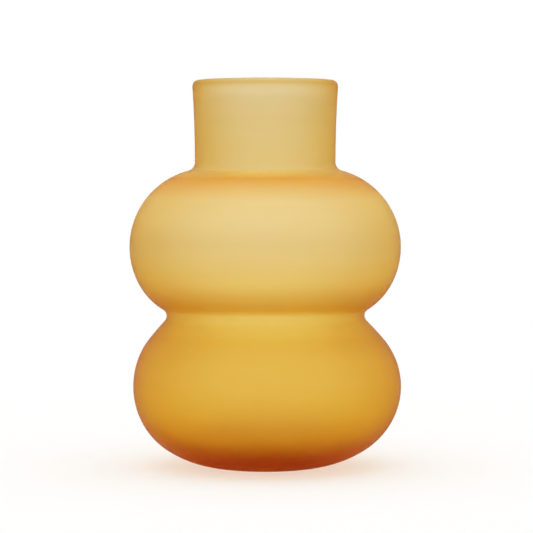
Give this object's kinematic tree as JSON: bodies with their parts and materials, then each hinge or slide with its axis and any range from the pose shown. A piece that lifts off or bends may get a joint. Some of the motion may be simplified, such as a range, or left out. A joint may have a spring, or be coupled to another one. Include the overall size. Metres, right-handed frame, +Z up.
{
  "type": "frosted vase",
  "caption": "Blown vase of frosted amber glass: a round bulb above another with a nipped waist between, and a straight open neck for cut flowers.",
  "frame": {"origin": "on the vase's axis, on the surface that the foot ring stands on", "axes": "+Z up along the vase's axis, from the foot to the mouth; the vase is round, so +X and +Y are any two directions square to it"},
  "size_m": [0.1684, 0.1684, 0.24],
  "materials": {
    "frosted_amber_glass": "frosted, satin"
  },
  "bodies": {
    "root": {"glass_body": "frosted_amber_glass"}
  },
  "joints": []
}
